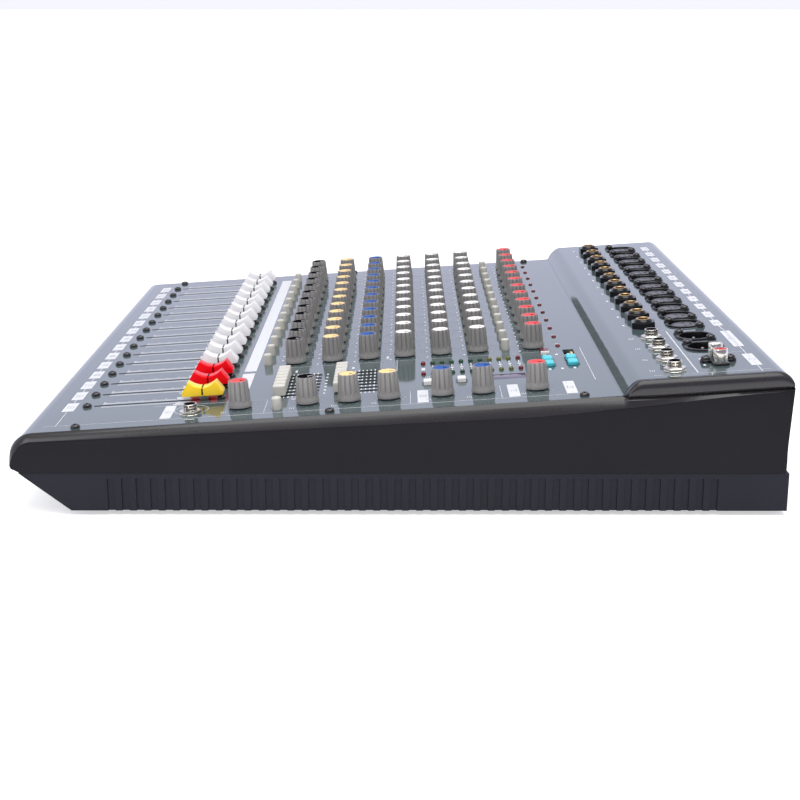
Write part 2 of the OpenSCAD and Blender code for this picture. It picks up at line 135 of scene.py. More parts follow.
def shader(name, color, roughness, metallic=0.0, coat=0.0, specular=0.5, grain=0.0, fine=900.0, mottle=0.05,
           coarse=60.0, rough_spread=0.06):
    """A painted, moulded or plated surface: mottled colour, uneven roughness and a grain.

    Fine and coarse are the noise scales of the grain and of the mottling.
    """
    made = bpy.data.materials.new(name)
    made.use_nodes = True
    nodes, links = made.node_tree.nodes, made.node_tree.links
    bsdf = nodes["Principled BSDF"]
    bsdf.inputs["Metallic"].default_value = metallic
    bsdf.inputs["Coat Weight"].default_value = coat
    bsdf.inputs["Coat Roughness"].default_value = 0.06
    bsdf.inputs["Specular IOR Level"].default_value = specular
    place = nodes.new("ShaderNodeTexCoord")
    cloud = nodes.new("ShaderNodeTexNoise")
    cloud.inputs["Scale"].default_value = coarse
    cloud.inputs["Detail"].default_value = 4
    links.new(place.outputs["Object"], cloud.inputs["Vector"])
    tint = nodes.new("ShaderNodeValToRGB")
    tint.color_ramp.elements[0].position = 0.3
    tint.color_ramp.elements[1].position = 0.7
    tint.color_ramp.elements[0].color = [c * (1 - mottle) for c in color] + [1]
    tint.color_ramp.elements[1].color = [min(1, c * (1 + mottle)) for c in color] + [1]
    links.new(cloud.outputs["Fac"], tint.inputs["Fac"])
    links.new(tint.outputs["Color"], bsdf.inputs["Base Color"])
    spread = nodes.new("ShaderNodeMapRange")
    spread.inputs["To Min"].default_value = max(0.02, roughness - rough_spread)
    spread.inputs["To Max"].default_value = min(1, roughness + rough_spread)
    links.new(cloud.outputs["Fac"], spread.inputs["Value"])
    links.new(spread.outputs["Result"], bsdf.inputs["Roughness"])
    if grain:
        grit = nodes.new("ShaderNodeTexNoise")
        grit.inputs["Scale"].default_value = fine
        grit.inputs["Detail"].default_value = 3
        links.new(place.outputs["Object"], grit.inputs["Vector"])
        bump = nodes.new("ShaderNodeBump")
        bump.inputs["Strength"].default_value = grain
        bump.inputs["Distance"].default_value = 0.0002
        links.new(grit.outputs["Fac"], bump.inputs["Height"])
        links.new(bump.outputs["Normal"], bsdf.inputs["Normal"])
    MATERIALS[name] = made
    return made


shader("panel_paint", (0.07, 0.098, 0.102), 0.07, coat=0.12, grain=0.02, fine=700, mottle=0.03, coarse=14,
       rough_spread=0.02)
shader("cheek_plastic", (0.0055, 0.005, 0.009), 0.32, specular=0.16, grain=0.05, fine=1500, mottle=0.15,
       coarse=25)
shader("cheek_gloss", (0.022, 0.02, 0.023), 0.28, coat=0.08, specular=0.42, grain=0.03, fine=1500,
       mottle=0.1, coarse=25)
shader("tray_plastic", (0.011, 0.011, 0.02), 0.42, specular=0.2, grain=0.3, fine=2600, mottle=0.12,
       coarse=30)
shader("foot_rubber", (0.02, 0.02, 0.02), 0.8, grain=0.3, fine=1800)
shader("black_screw", (0.012, 0.011, 0.011), 0.2, coat=0.4, specular=0.6, grain=0.1, fine=2200, mottle=0.2,
       coarse=500)
shader("connector_black", (0.01, 0.01, 0.0125), 0.26, grain=0.1, fine=2600, mottle=0.15, coarse=200)
# Painted reflection: a darker, brownish copy of the nickel, standing in for the dark surroundings mirrored
# in the windows of the plated jack collars.
shader("nickel_painted_dark_reflection", (0.2, 0.16, 0.14), 0.35, metallic=0.8, grain=0.1, fine=1600, mottle=0.15, coarse=300)
shader("insert_grey", (0.075, 0.075, 0.085), 0.35, grain=0.15, fine=2600, mottle=0.15, coarse=200)
shader("jack_black", (0.006, 0.006, 0.007), 0.2, specular=0.45, grain=0.05, fine=1800, mottle=0.15,
       coarse=200)
shader("nickel", (0.74, 0.71, 0.64), 0.15, metallic=1.0, grain=0.05, fine=1600, mottle=0.06, coarse=300)
shader("socket_steel", (0.4, 0.39, 0.37), 0.32, metallic=1.0, grain=0.1, fine=1500)
shader("contact_gold", (0.62, 0.42, 0.2), 0.3, metallic=1.0, grain=0.05, fine=1500, mottle=0.1, coarse=300)
shader("window_tint", (0.07, 0.045, 0.085), 0.1, mottle=0.08, coarse=40)
shader("lens_red", (0.09, 0.003, 0.014), 0.16, specular=0.3, mottle=0.15, coarse=200)
shader("led_green", (0.008, 0.06, 0.024), 0.16, mottle=0.3, coarse=900)
shader("led_red", (0.15, 0.006, 0.01), 0.16, mottle=0.3, coarse=900)
shader("led_amber", (0.13, 0.13, 0.012), 0.16, mottle=0.3, coarse=900)
shader("board_green", (0.03, 0.16, 0.06), 0.4, grain=0.2, fine=1200, mottle=0.3)
shader("pot_steel", (0.03, 0.03, 0.035), 0.5, metallic=0.6, grain=0.2, fine=1500)
# Flat black for the dust guards along the equaliser slots, and as painted shade for the pin holes of the
# female connectors.
shader("guard_and_painted_hole_shade_black", (0.004, 0.004, 0.005), 0.6, specular=0.2, grain=0.2, mottle=0.2)
shader("knob_grey", (0.3, 0.288, 0.28), 0.42, specular=0.35, grain=0.16, fine=3000, coarse=120)
shader("cap_red", (0.72, 0.06, 0.06), 0.4, specular=0.12, grain=0.06, fine=2000, mottle=0.08, coarse=300)
shader("cap_cream", (0.95, 0.64, 0.27), 0.42, specular=0.25, grain=0.06, fine=2000, mottle=0.06,
       coarse=300)
shader("cap_blue", (0.015, 0.085, 0.34), 0.45, specular=0.1, grain=0.06, fine=2000, mottle=0.1, coarse=300)
shader("cap_white", (0.92, 0.9, 0.87), 0.42, specular=0.25, grain=0.06, fine=2000, mottle=0.04, coarse=300)
shader("cap_dark", (0.005, 0.005, 0.008), 0.95, specular=0.0, grain=0.06, fine=2000, mottle=0.15,
       coarse=300)
shader("button_beige", (0.6, 0.58, 0.53), 0.42, specular=0.4, grain=0.14, fine=2600, mottle=0.04,
       coarse=150)
shader("button_white", (0.8, 0.79, 0.78), 0.36, grain=0.1, fine=2400, mottle=0.03, coarse=200)
shader("key_cyan", (0.07, 0.56, 0.66), 0.34, specular=0.35, grain=0.06, fine=2000, mottle=0.06, coarse=200)
shader("fader_white", (0.86, 0.84, 0.85), 0.24, specular=0.4, grain=0.05, fine=1600, mottle=0.02,
       coarse=90)
shader("fader_red", (0.9, 0.0, 0.006), 0.24, specular=0.22, grain=0.05, fine=1600, mottle=0.06, coarse=90)
shader("fader_yellow", (1.0, 0.66, 0.03), 0.24, specular=0.3, grain=0.05, fine=1600, mottle=0.04,
       coarse=90)
shader("rocker_black", (0.01, 0.01, 0.012), 0.2, grain=0.05, fine=1800, mottle=0.2)
shader("print_white", (0.68, 0.69, 0.73), 0.5, specular=0.3, grain=0.2, fine=4000, coarse=400)
shader("print_dark", (0.09, 0.1, 0.13), 0.5, specular=0.3, grain=0.2, fine=4000, mottle=0.1, coarse=400)


# ---------------- mesh building, in mm

class Shape:
    """Collects vertices and faces, each group put in place by a matrix."""

    def __init__(self):
        self.points = []
        self.faces = []

    def add(self, part, place=None):
        points, faces = part
        first = len(self.points)
        if place is None:
            self.points += [tuple(p) for p in points]
        else:
            self.points += [tuple(place @ Vector(p)) for p in points]
        self.faces += [tuple(first + i for i in face) for face in faces]
        return self


def put(name, data):
    """Adds an object with this data to the scene."""
    made = bpy.data.objects.new(name, data)
    bpy.context.scene.collection.objects.link(made)
    return made


def piece(name, shape, material, body=ROOT, replaces=(), bevel=0.0, smooth=35.0):
    """Turns a shape into a piece on a body, with smooth shading up to an angle, and an optional bevel."""
    mesh = bpy.data.meshes.new(name)
    mesh.from_pydata([[c * MM for c in p] for p in shape.points], [], shape.faces)
    mesh.validate()
    mesh.shade_smooth()
    mesh.set_sharp_from_angle(angle=math.radians(smooth))
    mesh.materials.append(MATERIALS[material])
    made = put(name, mesh)
    if bevel:
        rounding = made.modifiers.new("edges", "BEVEL")
        rounding.width = bevel * MM
        rounding.segments = 2
        rounding.limit_method = "ANGLE"
        rounding.angle_limit = math.radians(30)
        rounding.harden_normals = True
    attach(made, body)
    if replaces:
        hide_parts(*replaces)
    return made


def loft(rings, closed_ends=True):
    """Joins rings of the same number of points, with flat ends."""
    count = len(rings[0])
    points = [p for ring in rings for p in ring]
    faces = []
    for k in range(len(rings) - 1):
        for i in range(count):
            j = (i + 1) % count
            faces.append((k * count + i, k * count + j, (k + 1) * count + j, (k + 1) * count + i))
    if closed_ends:
        faces.append(tuple(reversed(range(count))))
        faces.append(tuple((len(rings) - 1) * count + i for i in range(count)))
    return points, faces


def loop(rings):
    """Joins rings as loft does, and the last one back to the first."""
    points, faces = loft(rings + rings[:1], False)
    used = len(points) - len(rings[0])
    return points[:used], [tuple(i % used for i in face) for face in faces]


def circle(radius, z, count=32, turn=0.0):
    angles = [turn + math.tau * i / count for i in range(count)]
    return [(radius * math.cos(a), radius * math.sin(a), z) for a in angles]


def lathe(profile, count=32):
    """A turned solid from (radius, z) points, from the bottom to the top; both ends are closed flat."""
    return loft([circle(radius, z, count) for radius, z in profile])


def tube(profile, count=32):
    """A turned ring from a closed loop of (radius, z) points, walked round the outside first."""
    return loop([circle(radius, z, count) for radius, z in profile])


def rounded(width, depth, radius, z, steps=4):
    """A rectangle with rounded corners, as one ring."""
    ring = []
    for corner in range(4):
        sx, sy = (1, 1, -1, -1)[corner], (-1, 1, 1, -1)[corner]
        cx, cy = sx * (width / 2 - radius), sy * (depth / 2 - radius)
        for i in range(steps + 1):
            a = math.radians(90 * (corner - 1) + 90 * i / steps)
            ring.append((cx + radius * math.cos(a), cy + radius * math.sin(a), z))
    return ring


def pillow(width, depth, low, high, corner=0.8, edge=0.5, steps=3):
    """A block with rounded corners and a rounded upper edge."""
    rings = [rounded(width, depth, corner, low)]
    for i in range(steps + 1):
        a = math.radians(90 * i / steps)
        inset = edge * (1 - math.cos(a))
        rings.append(rounded(width - 2 * inset, depth - 2 * inset, max(0.05, corner - inset * 0.5),
                             high - edge + edge * math.sin(a)))
    return loft(rings)


def bar(width, depth, low, high):
    x, y = width / 2, depth / 2
    ring = [(x, -y), (x, y), (-x, y), (-x, -y)]
    return loft([[(a, b, low) for a, b in ring], [(a, b, high) for a, b in ring]])


def hexagon(across_corners, low, high, chamfer=0.5, turn=0.0):
    """A hexagon nut with its upper corners turned down."""
    r = across_corners / 2
    return loft([circle(r, low, 6, turn), circle(r, high - chamfer, 6, turn),
                 circle(r - chamfer, high, 6, turn)])


# ---------------- carried-over CAD shapes

SHARP = math.radians(28)


def smoothed(node, material, body=ROOT):
    """Stands in for a CAD node with the same shape, welded and shaded smooth across its facets."""
    source = frame["nodes"][node]
    mesh = source.data.copy()
    mesh.name = node + "_finish"
    made = put(node + "_finish", mesh)
    mesh.materials.clear()
    mesh.materials.append(MATERIALS[material])
    weld(mesh)
    mesh.shade_smooth()
    mesh.set_sharp_from_angle(angle=SHARP)
    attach(made, body)
    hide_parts(node)
    return made


def weld(mesh):
    """Joins the split vertices that the CAD export leaves along its faces."""
    work = bmesh.new()
    work.from_mesh(mesh)
    bmesh.ops.remove_doubles(work, verts=work.verts, dist=1e-6)
    work.to_mesh(mesh)
    work.free()
    if mesh.has_custom_normals:
        mesh.attributes.remove(mesh.attributes["custom_normal"])


def repaint(node, material):
    """Gives a CAD node that stays its own material."""
    mesh = frame["nodes"][node].data
    mesh.materials.clear()
    mesh.materials.append(MATERIALS[material])


# ---------------- knobs

KNOB_H = 16.2
KNOB_GAP = 0.7
FLUTES = 12


def knob_shell():
    """The fluted grey shell: a smooth skirt, twelve narrow flutes with round lower ends, and a thin rim."""
    per_flute = 12
    count = FLUTES * per_flute
    heights = [KNOB_GAP, KNOB_GAP + 0.35, 1.6, 3.0, 3.6, 4.0, 4.2, 4.5, 4.9, 5.4, 6.2, 8, 11, 14, 15.5,
               16.0, KNOB_H]
    flute_foot, flute_depth, flute_width = 4.1, 0.85, 0.17

    def radius(z):
        body = 7.0 - 0.1 * z if z < 3.6 else 6.42 - (z - 3.6) * 0.062
        if z < KNOB_GAP + 0.3:
            body -= 0.35
        return body - max(0.0, z - 15.6) * 0.4

    rings = []
    for z in heights:
        ring = []
        for i in range(count):
            off_axis = ((i % per_flute) / per_flute - 0.5) / flute_width
            groove = flute_depth * max(0.0, 1 - off_axis ** 2) ** 0.6
            rise = min(1.0, max(0.0, (z - flute_foot - 0.5 * off_axis ** 2) / 0.9))
            a = math.tau * i / count
            r = radius(z) - groove * rise ** 0.5
            ring.append((r * math.cos(a), r * math.sin(a), z))
        rings.append(ring)
    for r, z in ((5.15, KNOB_H), (5.05, KNOB_H - 0.12), (5.0, KNOB_H - 0.9)):
        rings.append(circle(r, z, count))
    return loft(rings)


def knob_cap():
    """The coloured disc set in the knob's top, dished towards its middle."""
    top = KNOB_H - 0.06
    return lathe([(4.98, top - 0.8), (4.98, top - 0.14), (4.8, top), (3.4, top - 0.1), (1.6, top - 0.3),
                  (0.3, top - 0.34)], 40)


def pointer_color(cap):
    return "cap_white" if cap == "cap_dark" else "cap_dark"


SHELL, CAP = knob_shell(), knob_cap()
POINTER, POINTER_SPOT = bar(0.5, 3.6, KNOB_H - 0.66, KNOB_H - 0.1), Matrix.Translation((0, 2.9, 0))
SHAFT = lathe([(3, -10), (3, KNOB_GAP + 0.1)], 24)
WASHER = tube([(5.9, 0.02), (5.9, 0.3), (5.6, 0.45), (3.7, 0.45), (3.7, 0.02)], 32)


def make_knob(name, place, cap):
    """A knob that turns, named after its node and its body."""
    piece(name + "_shell", Shape().add(SHELL, place).add(SHAFT, place), "knob_grey", name, [name], smooth=40)
    piece(name + "_cap", Shape().add(CAP, place), cap, name)
    piece(name + "_pointer", Shape().add(POINTER, place @ POINTER_SPOT), pointer_color(cap), name, bevel=0.1)


def knobs():
    for key, row in zip(CHANNEL_KNOBS, KNOB_ROWS):
        make_knob("knob_12_" + key, panel(FADER_X[-1], row), CHANNEL_KNOBS[key])
    for key, row in zip(MASTER_KNOBS, MASTER_ROWS):
        make_knob("knob_master_" + key, panel(MASTER_X, row), MASTER_KNOBS[key])
    shells, caps, marks = Shape(), {}, {}
    for x in FADER_X[:-1]:
        for key, row in zip(CHANNEL_KNOBS, KNOB_ROWS):
            place = panel(x, row) @ Matrix.Rotation(math.radians(random.uniform(-8, 8)), 4, "Z")
            shells.add(SHELL, place).add(SHAFT, place)
            caps.setdefault(CHANNEL_KNOBS[key], Shape()).add(CAP, place)
            marks.setdefault(pointer_color(CHANNEL_KNOBS[key]), Shape()).add(POINTER, place @ POINTER_SPOT)
    piece("channel_knob_shells", shells, "knob_grey", replaces=["channel_knobs"], smooth=40)
    for cap, shape in caps.items():
        piece("channel_knob_" + cap, shape, cap)
    for mark, shape in marks.items():
        piece("channel_knob_pointers_" + mark, shape, mark)
    washers = Shape()
    for x, rows in [(x, KNOB_ROWS) for x in FADER_X] + [(MASTER_X, MASTER_ROWS)]:
        for row in rows:
            washers.add(WASHER, panel(x, row))
    piece("knob_washers", washers, "black_screw")


# ---------------- faders

CAP_FOOT, CAP_TOP, CAP_DISH = 3.3, 11.7, 8.1
CAP_SIDE, CAP_LEAN = 5.2, 0.155


def fader_profile(inset):
    """The side view of a fader cap, as (y, z): short upright ends, then slopes up to a dished top."""
    foot, top = 12.25 - inset, 8.3 - inset * 0.8
    low, high, dish = CAP_FOOT + inset, CAP_TOP - inset, CAP_DISH - inset
    ring = [(0.7 - foot, low), (foot - 0.7, low), (foot - 0.15, low + 0.35), (foot, low + 1),
            (foot, low + 1.7), (foot - 0.3, low + 2.5)]
    steps = 24
    for k in range(steps + 1):
        t = 1 - 2 * k / steps
        tip = 0.16 if k in (0, steps) else 0
        ring.append((top * t, dish + (high - dish) * t * t - tip))
    ring += [(0.3 - foot, low + 2.5), (-foot, low + 1.7), (-foot, low + 1), (0.15 - foot, low + 0.35)]
    return ring


def lean(x, z):
    """Draws the side of the cap in towards its top."""
    return x * (1 - CAP_LEAN * (z - CAP_FOOT) / CAP_SIDE)


def fader_cap():
    """Rings across the cap, smaller towards each side so that its edges are round."""
    edge = [(CAP_SIDE, 0.42), (CAP_SIDE - 0.08, 0.16), (CAP_SIDE - 0.35, 0)]
    across = [(-x, inset) for x, inset in edge] + edge[::-1]
    return loft([[(lean(x, z), y, z) for y, z in fader_profile(inset)] for x, inset in across])


def fader_line():
    """The black index line that runs over the dish and down both sides."""
    side, dish = CAP_SIDE + 0.03, CAP_DISH + 0.03
    rings = []
    for y in (-0.5, 0.5):
        rings.append([(lean(-side, 4), y, 4), (lean(side, 4), y, 4), (lean(side, dish - 0.4), y, dish - 0.4),
                      (lean(side - 0.35, dish), y, dish), (lean(0.35 - side, dish), y, dish),
                      (lean(-side, dish - 0.4), y, dish - 0.4)])
    return loft(rings)


def faders():
    all_faders = [(f"fader_{n}", x, "fader_white") for n, x in enumerate(FADER_X, 1)]
    all_faders += [(f"fader_group_{n}", x, "fader_red") for n, x in enumerate(GROUP_X, 1)]
    all_faders.append(("fader_main", MAIN_X, "fader_yellow"))
    for name, x, color in all_faders:
        place = panel(x, FADER_ROW)
        piece(name + "_cap", Shape().add(fader_cap(), place), color, name, [name], smooth=32)
        piece(name + "_line", Shape().add(fader_line(), place), "cap_dark", name, bevel=0.08)
        piece(name + "_stem", Shape().add(bar(1.2, 5, -9, 4.2), place), "socket_steel", name, bevel=0.1)


EQ_COUNT = 7
EQ_HALF_CAP = 3
EQ_TRAVEL = 1000 * JOINTS["eq_sliders_1_slide"]["range_m"][1]
EQ_ROWS = (115, 150.5)


def eq_columns(node="eq_sliders_1"):
    """The x of each slider in an equaliser bank."""
    low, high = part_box(node)
    first, last = mm(low).x + EQ_HALF_CAP, mm(high).x - EQ_HALF_CAP
    return [first + (last - first) * i / (EQ_COUNT - 1) for i in range(EQ_COUNT)]


def eq_sliders():
    """Small blocks with well rounded tops, on flat stems."""
    for n, row in enumerate(EQ_ROWS, 1):
        node = f"eq_sliders_{n}"
        caps, stems = Shape(), Shape()
        for x in eq_columns(node):
            caps.add(pillow(5.8, 7.3, 1, 6.95, corner=0.7, edge=0.8, steps=4), panel(x, row))
            stems.add(bar(1, 3, -6, 1.3), panel(x, row))
        piece(node + "_caps", caps, "button_beige", node, [node])
        piece(node + "_stems", stems, "cap_dark", node)


# ---------------- push buttons

ROUND_BUTTON_W, STANDBY_W = 5.2, 5.8
STANDBY_ROW = 115.7
SQUARE_ROWS = (202.5, 222.7)
KEY_ROWS = (277, 277, 291.5, 291.5)


def round_button(width):
    """A push button with a softly domed end."""
    profile = [(-0.35, -4), (-0.2, -3.8), (0, 0), (-0.05, 5.9), (-0.15, 6.5), (-0.45, 6.86), (-0.95, 7.0)]
    return lathe([(width / 2 + r, z) for r, z in profile] + [(0.4, 6.97)], 36)


def buttons():
    fixed = Shape()
    for x in FADER_X[:-1]:
        for row in (MUTE_ROW, PAD_ROW):
            fixed.add(round_button(ROUND_BUTTON_W), panel(x, row))
    piece("channel_button_caps", fixed, "button_beige", replaces=["channel_buttons"])
    single = {"button_12_mute": panel(FADER_X[-1], MUTE_ROW), "button_12_pad": panel(FADER_X[-1], PAD_ROW),
              "button_standby": panel(middle("button_standby").x, STANDBY_ROW)}
    for name, place in single.items():
        width = STANDBY_W if name == "button_standby" else ROUND_BUTTON_W
        piece(name + "_cap", Shape().add(round_button(width), place), "button_beige", name, [name])
    for i, row in enumerate(SQUARE_ROWS, 1):
        name = f"button_square_{i}"
        x = middle(name).x
        piece(name + "_cap", Shape().add(pillow(6.5, 5, -4, 2.6, 0.6, 0.45), panel(x, row)), "button_white",
              name, [name])
        surround(name + "_surround", x, row, 6.5, 5)
    for i, row in enumerate(KEY_ROWS, 1):
        name = f"player_key_{i}"
        x = middle(name).x
        piece(name + "_cap", Shape().add(pillow(9, 6.4, -4, 2.4, 1.6, 1.1, 5), panel(x, row)), "key_cyan",
              name, [name])
        surround(name + "_surround", x, row, 9, 6.4, 1.6)


def surround(name, x, row, width, depth, corner=0.6):
    """The black frame round a button's opening."""
    clear, rim = 0.5, 1.0
    outer = [rounded(width + 2 * rim, depth + 2 * rim, corner + 0.4, z) for z in (0.01, 0.16)]
    inner = [rounded(width + 2 * clear, depth + 2 * clear, corner + 0.1, z) for z in (0.16, 0.01)]
    piece(name, Shape().add(loop(outer + inner), panel(x, row)), "connector_black")


# ---------------- lamps, window and lens

METER_ROW = 206.2
METER_STEP = 5.92
METER_X = (145.5, 119.5)
POWER_ROW = 200.3


def lamp(height):
    """A lamp's lens: a short cylinder under a dome."""
    rise = height - 0.5
    dome = [(1.5 * math.cos(a), 0.5 + rise * math.sin(a)) for a in (0, 0.35, 0.7, 1.05, 1.35, 1.5)]
    return lathe([(1.5, -5)] + dome, 24)


def lamps():
    groups = {"led_red": Shape(), "led_green": Shape(), "led_amber": Shape()}
    for x in FADER_X:
        groups["led_red"].add(lamp(1.15), panel(x, PEAK_ROW))
    for x in METER_X:
        groups["led_red"].add(lamp(1.8), panel(x, POWER_ROW))
        for i in range(10):
            color = "led_green" if i < 6 else "led_amber" if i < 9 else "led_red"
            groups[color].add(lamp(1.8), panel(x, METER_ROW + METER_STEP * i))
    for color, shape in groups.items():
        piece("lamps_" + color, shape, color, replaces=["leds"])


WINDOW_X, WINDOW_ROW = 162.4, 246.5
LENS_X, LENS_ROW = 106.4, 277.3


def window():
    piece("display_glass", Shape().add(pillow(11.7, 29, -3, -0.12, 0.3, 0.1), panel(WINDOW_X, WINDOW_ROW)),
          "window_tint", replaces=["display_window"])
    lens = Shape().add(pillow(8.8, 5.5, -3, 1.6, 0.9, 0.6, 5), panel(LENS_X, LENS_ROW))
    piece("receiver_lens", lens, "lens_red")
    # A white strip at the lens's near edge: painted highlight for the light caught by the lens's front
    # bevel.
    edge = Shape().add(pillow(1.1, 5.5, -3, 1.5, 0.3, 0.2), panel(LENS_X + 5, LENS_ROW))
    piece("receiver_lens_painted_highlight", edge, "cap_white")


# ---------------- sockets on the deck

EAR = Vector((9.3, 8, 0))
FLANGE = 1.2
PIN_CIRCLE = 3.9
MALE_X = [middle("xlr_male").x - 14, middle("xlr_male").x + 14]
METAL_JACK_X = [mm(MOUNTS[k]["pos_m"]).x for k in
                ("main_out_left", "main_out_right", "aux_out_left", "aux_out_right")]
RCA_X, RCA_ROW = middle("rca_sockets").x, 368.7


def xlr_rim(bore):
    """The turned collar of a connector, from below the panel to its rounded rim."""
    return tube([(10.6, -13), (10.7, 0.02), (11.4, 0.05), (11.45, 0.7), (11.3, 1.05), (11.0, 1.2),
                 (10.6, 1.2), (bore + 0.25, 1.1), (bore, 0.8), (bore, -11.2), (10.0, -13)], 56)


def ear_plate(side):
    """A screw ear: a rounded tongue from the collar out to the screw."""
    reach = side * EAR.length
    rings = []
    for z, r in ((0.02, 3.4), (0.8, 3.4), (1.1, 3.25), (1.2, 3.0)):
        ring = []
        for i in range(17):
            a = -math.pi / 2 + math.pi * i / 16
            ring.append((reach + side * r * math.cos(a), side * r * math.sin(a), z))
        ring.append((side * 10.8, side * r, z))
        ring.append((side * 10.8, -side * r, z))
        rings.append(ring)
    points, faces = loft(rings)
    turn = Matrix.Rotation(math.atan2(EAR.y, EAR.x), 4, "Z")
    return [turn @ Vector(p) for p in points], faces


def xlr_flange(shape, place, bore):
    """A connector's collar with both its ears."""
    shape.add(xlr_rim(bore), place)
    for side in (-1, 1):
        shape.add(ear_plate(side), place)


def pin_spots(place, angles):
    for a in angles:
        yield place @ Matrix.Rotation(math.radians(a), 4, "Z") @ Matrix.Translation((PIN_CIRCLE, 0, 0))


def xlr_sockets():
    shells, inserts, contacts, hole_shade_discs = Shape(), Shape(), Shape(), Shape()
    for x in FADER_X:
        place = deck(x, XLR_ROW)
        xlr_flange(shells, place, 10.1)
        inserts.add(insert_body(), place)
        for spot in pin_spots(place, (0, 90, 180)):
            contacts.add(tube([(1.5, 0), (1.5, 0.25), (1.2, 0.25), (1.2, 0)], 20), spot)
            # A black disc over each pin hole: painted shade for the hole.
            hole_shade_discs.add(lathe([(1.2, 0), (1.2, 0.2)], 20), spot)
        shells.add(pillow(4.6, 1.7, -1, 1.0, 0.4, 0.3), place @ Matrix.Translation((0, 9, 0)))
    piece("xlr_female_shells", shells, "connector_black", replaces=["xlr_female"])
    piece("xlr_female_inserts", inserts, "insert_grey")
    piece("xlr_female_contacts", contacts, "socket_steel")
    piece("xlr_female_painted_hole_shade", hole_shade_discs, "guard_and_painted_hole_shade_black")
    cups, pins = Shape(), Shape()
    for x in MALE_X:
        place = deck(x, XLR_ROW)
        xlr_flange(cups, place, 9.5)
        cups.add(lathe([(10, -12.9), (10, -11.2), (9.5, -11)], 48), place)
        cups.add(bar(1.6, 1.0, -10, 0.8), place @ Matrix.Translation((0, 9.1, 0)))
        for spot in pin_spots(place, (180, 270, 360)):
            pins.add(lathe([(1.2, -11.4), (1.2, -1.8), (1.0, -1.3), (0.5, -1.0)], 20), spot)
    piece("xlr_male_cups", cups, "connector_black", replaces=["xlr_male"])
    piece("xlr_male_pins", pins, "socket_steel")


def insert_body():
    """The plain face of a female connector, sunk below its rim."""
    return lathe([(8.6, -10), (8.6, -0.4), (8.3, 0.0), (7.8, 0.1), (2, 0.1), (0.3, 0.1)], 48)


def jack_sockets():
    nuts, rings = Shape(), Shape()
    for x in FADER_X:
        place = deck(x, JACK_ROW)
        nuts.add(hexagon(16.7, 0.02, 4.1, 0.55, random.uniform(-0.12, 0.12)), place)
        nuts.add(tube([(5.8, 4.0), (5.75, 4.4), (5.0, 5.3), (4.65, 5.62), (4.3, 5.7), (3.6, 5.7),
                       (3.6, 4.0)], 40), place)
        rings.add(tube([(4.5, 5.6), (4.45, 5.85), (4.2, 5.95), (3.6, 5.95), (3.27, 5.7), (3.27, -3),
                        (3.6, -3), (3.6, 5.6)], 40), place)
    piece("line_jack_nuts", nuts, "jack_black", replaces=["line_jacks"], smooth=30)
    piece("line_jack_rings", rings, "contact_gold")
    metal, cores, sleeves = Shape(), Shape(), Shape()
    phones = Matrix.Translation(PHONES_POINT) @ TILT
    for place in [deck(x, JACK_ROW) for x in METAL_JACK_X] + [phones]:
        turned = place @ Matrix.Rotation(random.uniform(0.25, 0.5), 4, "Z")
        metal.add(tube([(6.4, 0.02), (6.45, 0.35), (6.2, 0.5), (4.2, 0.5), (4.2, 0.02)], 40), place)
        metal.add(hexagon(12.9, 0.45, 2.2, 0.5), turned)
        for low, high in ((2.1, 2.55), (3.85, 4.2), (5.55, 5.95)):
            metal.add(collar_band(low, high), turned)
        for k in range(12):
            rib = turned @ Matrix.Rotation(math.tau * k / 12, 4, "Z") @ Matrix.Translation((3.85, 0, 0))
            metal.add(bar(0.5, 0.55, 2.2, 5.75), rib)
        # Painted reflection: this dark cylinder behind the ribs stands in for the dark surroundings mirrored
        # between the plated collar's ribs.
        cores.add(tube([(3.72, 2.0), (3.72, 5.7), (3.5, 5.7), (3.5, 2.0)], 40), place)
        sleeves.add(tube([(3.6, -18), (3.6, 5.6), (3.27, 5.6), (3.27, -18)], 32), place)
    piece("metal_jack_nuts", metal, "nickel", replaces=["metal_jacks"], smooth=30)
    piece("metal_jack_dark_reflection_cores", cores, "nickel_painted_dark_reflection")
    piece("metal_jack_sleeves", sleeves, "connector_black")


def collar_band(low, high):
    """A rounded ring round a plated jack's collar."""
    profile = [(4.0, low), (4.1, low + 0.1), (4.1, high - 0.1), (4.0, high), (3.5, high), (3.5, low)]
    return tube(profile, 40)


def screw_head():
    """A pan head with a cross recess, as rings from its edge to its middle."""
    count = 40
    rings = []
    for r, z in ((2.8, 0.01), (2.8, 0.75), (2.62, 1.35), (2.2, 1.75), (1.75, 1.93), (1.6, 1.96), (1.5, 1.97),
                 (1.2, 2.0), (0.8, 2.0), (0.5, 2.0), (0.15, 2.0)):
        ring = []
        for i in range(count):
            a = math.tau * i / count
            x, y = r * math.cos(a), r * math.sin(a)
            recess = 0.75 if r <= 1.5 and min(abs(x), abs(y)) < 0.42 else 0.0
            ring.append((x, y, z - recess))
        rings.append(ring)
    return loft(rings)


def screws():
    places = [panel(x, row) for x in FADER_X + GROUP_X + [MAIN_X] for row in (0, SCREW_SPAN)]
    edge = mm(CAD_BOX[1]).x - 11.5
    places += [panel(side * edge, row) for side in (-1, 1) for row in (2.5, 146.4, 289.7)]
    places += [deck(x + side * EAR.x, XLR_ROW + side * EAR.y, FLANGE)
               for x in FADER_X + MALE_X for side in (-1, 1)]
    places += [deck(RCA_X, RCA_ROW + side * 7.1, 1.6) for side in (-1, 1)]
    heads = Shape()
    for place in places:
        heads.add(screw_head(), place @ Matrix.Rotation(random.uniform(0, 1.5), 4, "Z"))
    piece("screw_heads", heads, "black_screw", replaces=["screws"], smooth=30)


